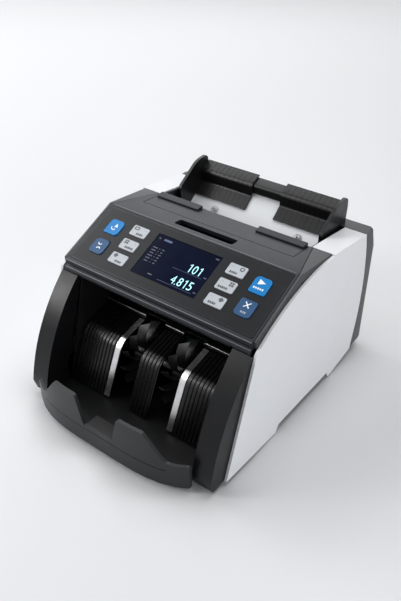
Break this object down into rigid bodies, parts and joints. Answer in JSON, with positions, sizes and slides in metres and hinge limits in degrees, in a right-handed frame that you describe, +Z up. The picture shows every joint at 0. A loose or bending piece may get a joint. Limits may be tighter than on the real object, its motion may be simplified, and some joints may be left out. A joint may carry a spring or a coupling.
{
  "type": "banknote counting machine",
  "caption": "Desktop banknote counter: white side shells, tilting keypad and screen unit, rear hopper with sliding guides, finned stacker wheels and a notched front tray.",
  "frame": {"origin": "middle of the footprint on the table", "axes": "+X to the operator's right, +Y to the rear, +Z up"},
  "size_m": [0.262, 0.3454, 0.207],
  "materials": {
    "white_shell": "satin moulded",
    "dark_shell": "fine texture",
    "black_plastic": "fine texture",
    "grey_plastic": "fine texture",
    "black_steel": "satin",
    "panel_face": "satin film",
    "screen_glass": "polished",
    "light_key": "satin",
    "blue_key": "satin",
    "bright_steel": "polished",
    "supply_case": "bare",
    "wheel_plastic": "satin",
    "black_rubber": "matt",
    "circuit_board": "lacquered"
  },
  "bodies": {
    "chassis": {"base_pan": "black_plastic", "foot_front_left": "black_rubber", "foot_front_right": "black_rubber", "foot_rear_left": "black_rubber", "foot_rear_right": "black_rubber", "left_frame": "black_steel", "right_frame": "black_steel", "left_side_panel": "white_shell", "right_side_panel": "white_shell", "rear_cover": "dark_shell", "left_column": "black_plastic", "right_column": "black_plastic", "left_wing": "dark_shell", "right_wing": "dark_shell", "stacker_tray": "grey_plastic", "left_stack_guide": "black_plastic", "right_stack_guide": "black_plastic", "middle_stack_guide": "black_plastic", "left_guide_strip": "bright_steel", "right_guide_strip": "bright_steel", "lower_guide": "black_plastic", "feed_plate": "white_shell", "feed_screw_left": "bright_steel", "feed_screw_right": "bright_steel", "hopper_bar": "grey_plastic", "hinge_rod": "bright_steel", "drive_motor": "bright_steel", "drive_belt": "black_rubber", "main_board": "circuit_board", "power_supply": "supply_case", "power_inlet": "black_plastic"},
    "upper_unit": {"door_cover": "grey_plastic", "control_panel": "panel_face", "display_window": "screen_glass", "display_board": "circuit_board", "upper_guide": "black_plastic", "image_sensor": "black_plastic", "left_throat_flap": "grey_plastic", "right_throat_flap": "grey_plastic"},
    "pinch": {"pinch_roller": "black_rubber"},
    "left_guide": {"left_note_guide": "black_plastic"},
    "right_guide": {"right_note_guide": "black_plastic"},
    "stacker": {"stacker_shaft": "bright_steel", "left_stacker_wheel": "wheel_plastic", "right_stacker_wheel": "wheel_plastic"},
    "transport": {"transport_roller": "black_rubber"},
    "feed": {"feed_roller": "black_rubber"},
    "motor": {"motor_pulley": "bright_steel"},
    "switch": {"power_switch": "black_plastic"},
    "left_lower_key": {"left_lower_key": "light_key"},
    "left_middle_key": {"left_middle_key": "light_key"},
    "left_upper_key": {"left_upper_key": "light_key"},
    "left_blue_lower_key": {"left_blue_lower_key": "blue_key"},
    "left_blue_upper_key": {"left_blue_upper_key": "blue_key"},
    "right_lower_key": {"right_lower_key": "light_key"},
    "right_middle_key": {"right_middle_key": "light_key"},
    "right_upper_key": {"right_upper_key": "light_key"},
    "right_blue_lower_key": {"right_blue_lower_key": "blue_key"},
    "right_blue_upper_key": {"right_blue_upper_key": "blue_key"}
  },
  "joints": [
    {"name": "upper_unit_tilt", "type": "hinge", "parent": "chassis", "child": "upper_unit", "pos_m": [0, -0.0786, 0.1402], "axis": [1, 0, 0], "range_deg": [0, 72]},
    {"name": "transport_spin", "type": "hinge", "parent": "chassis", "child": "transport", "pos_m": [0, 0.00641, 0.08692], "axis": [1, 0, 0], "continuous": true},
    {"name": "stacker_spin", "type": "hinge", "parent": "chassis", "child": "stacker", "pos_m": [0, -0.0642, 0.055], "axis": [1, 0, 0], "continuous": true},
    {"name": "feed_spin", "type": "hinge", "parent": "chassis", "child": "feed", "pos_m": [0, 0.08965, 0.12323], "axis": [1, 0, 0], "continuous": true},
    {"name": "motor_spin", "type": "hinge", "parent": "chassis", "child": "motor", "pos_m": [0, 0.0538, 0.052], "axis": [1, 0, 0], "continuous": true},
    {"name": "pinch_spin", "type": "hinge", "parent": "upper_unit", "child": "pinch", "pos_m": [0, -0.00038, 0.11129], "axis": [1, 0, 0], "continuous": true},
    {"name": "left_guide_slide", "type": "slide", "parent": "chassis", "child": "left_guide", "axis": [1, 0, 0], "range_m": [0, 0.018]},
    {"name": "right_guide_slide", "type": "slide", "parent": "chassis", "child": "right_guide", "axis": [-1, 0, 0], "range_m": [0, 0.018]},
    {"name": "left_lower_key_press", "type": "slide", "parent": "upper_unit", "child": "left_lower_key", "axis": [0, 0.4195, -0.9078], "range_m": [0, 0.0012], "stiffness_N_per_m": 800},
    {"name": "left_middle_key_press", "type": "slide", "parent": "upper_unit", "child": "left_middle_key", "axis": [0, 0.4195, -0.9078], "range_m": [0, 0.0012], "stiffness_N_per_m": 800},
    {"name": "left_upper_key_press", "type": "slide", "parent": "upper_unit", "child": "left_upper_key", "axis": [0, 0.4195, -0.9078], "range_m": [0, 0.0012], "stiffness_N_per_m": 800},
    {"name": "left_blue_lower_key_press", "type": "slide", "parent": "upper_unit", "child": "left_blue_lower_key", "axis": [0, 0.4195, -0.9078], "range_m": [0, 0.0012], "stiffness_N_per_m": 800},
    {"name": "left_blue_upper_key_press", "type": "slide", "parent": "upper_unit", "child": "left_blue_upper_key", "axis": [0, 0.4195, -0.9078], "range_m": [0, 0.0012], "stiffness_N_per_m": 800},
    {"name": "right_lower_key_press", "type": "slide", "parent": "upper_unit", "child": "right_lower_key", "axis": [0, 0.4195, -0.9078], "range_m": [0, 0.0012], "stiffness_N_per_m": 800},
    {"name": "right_middle_key_press", "type": "slide", "parent": "upper_unit", "child": "right_middle_key", "axis": [0, 0.4195, -0.9078], "range_m": [0, 0.0012], "stiffness_N_per_m": 800},
    {"name": "right_upper_key_press", "type": "slide", "parent": "upper_unit", "child": "right_upper_key", "axis": [0, 0.4195, -0.9078], "range_m": [0, 0.0012], "stiffness_N_per_m": 800},
    {"name": "right_blue_lower_key_press", "type": "slide", "parent": "upper_unit", "child": "right_blue_lower_key", "axis": [0, 0.4195, -0.9078], "range_m": [0, 0.0012], "stiffness_N_per_m": 800},
    {"name": "right_blue_upper_key_press", "type": "slide", "parent": "upper_unit", "child": "right_blue_upper_key", "axis": [0, 0.4195, -0.9078], "range_m": [0, 0.0012], "stiffness_N_per_m": 800},
    {"name": "switch_rock", "type": "hinge", "parent": "chassis", "child": "switch", "pos_m": [0.0835, 0.1673, 0.046], "axis": [1, 0, 0], "range_deg": [0, 16]}
  ],
  "couplings": [
    {"joint": "stacker_spin", "follows": "transport_spin", "ratio": 0.875},
    {"joint": "feed_spin", "follows": "transport_spin", "ratio": 1.2727},
    {"joint": "motor_spin", "follows": "transport_spin", "ratio": 1.75}
  ]
}
